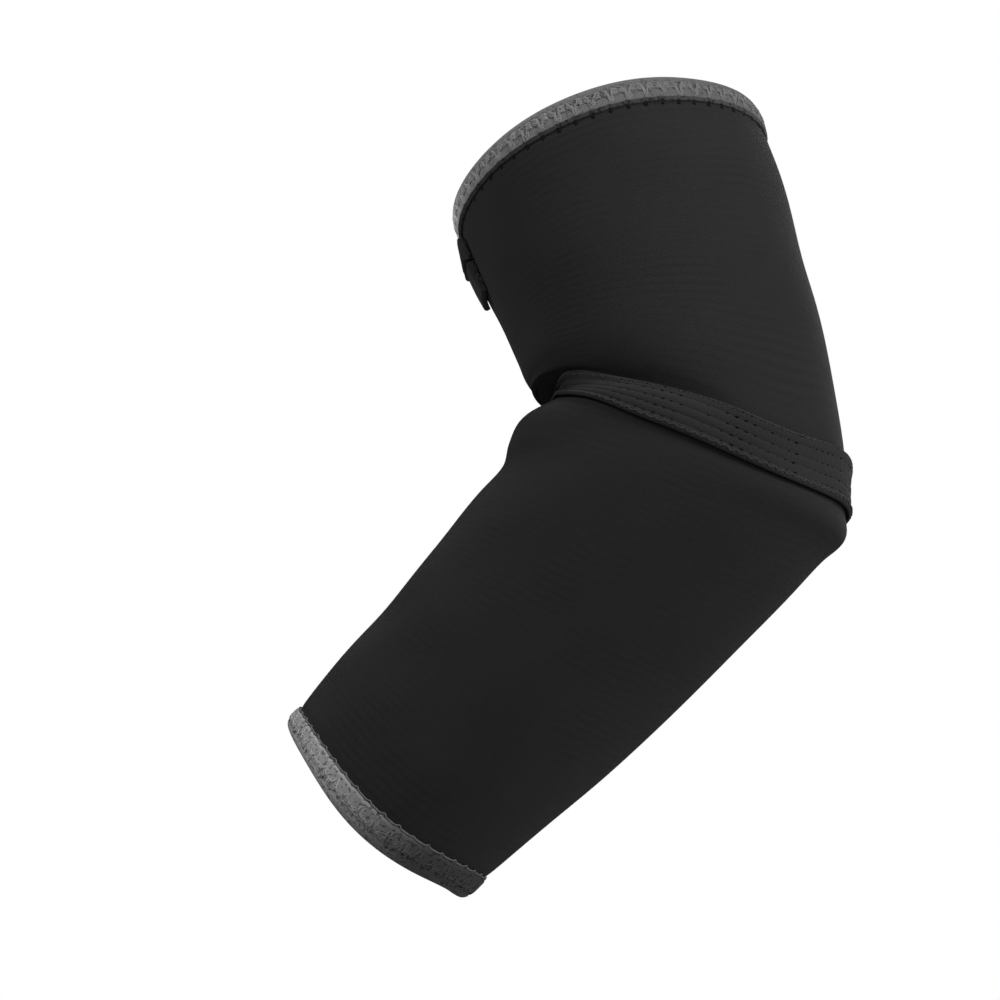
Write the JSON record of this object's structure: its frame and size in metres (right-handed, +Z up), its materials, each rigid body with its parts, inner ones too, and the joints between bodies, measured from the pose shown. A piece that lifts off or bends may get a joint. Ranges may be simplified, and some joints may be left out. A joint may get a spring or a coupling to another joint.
{
  "type": "elbow brace",
  "caption": "Pull-on elbow support sleeve of padded stretch cloth, shaped to a bent arm, with a ribbed band round the elbow and folded bindings at both rims.",
  "frame": {"origin": "middle of the elbow inside the sleeve, on the line where the upper arm's and the forearm's centre lines meet; the arm holds the sleeve there", "axes": "+Z up as worn in the picture, the upper arm leaning 18 degrees from it; the arm bends in the XZ plane, with its crook toward -X and the point of the elbow toward +X"},
  "size_m": [0.1688, 0.0922, 0.235],
  "materials": {
    "stretch_cloth": "fine black stretch jersey laminated on foam rubber",
    "band_cloth": "ribbed black elastic with sewn channels",
    "binding_tape": "grey folded tape with overlock stitching",
    "tab_tape": "plain black satin tape"
  },
  "bodies": {
    "root": {"upper_panel": "stretch_cloth", "forearm_panel": "stretch_cloth", "elbow_band": "band_cloth", "upper_binding": "binding_tape", "forearm_binding": "binding_tape", "upper_tab": "tab_tape", "lower_tab": "tab_tape"}
  },
  "joints": []
}
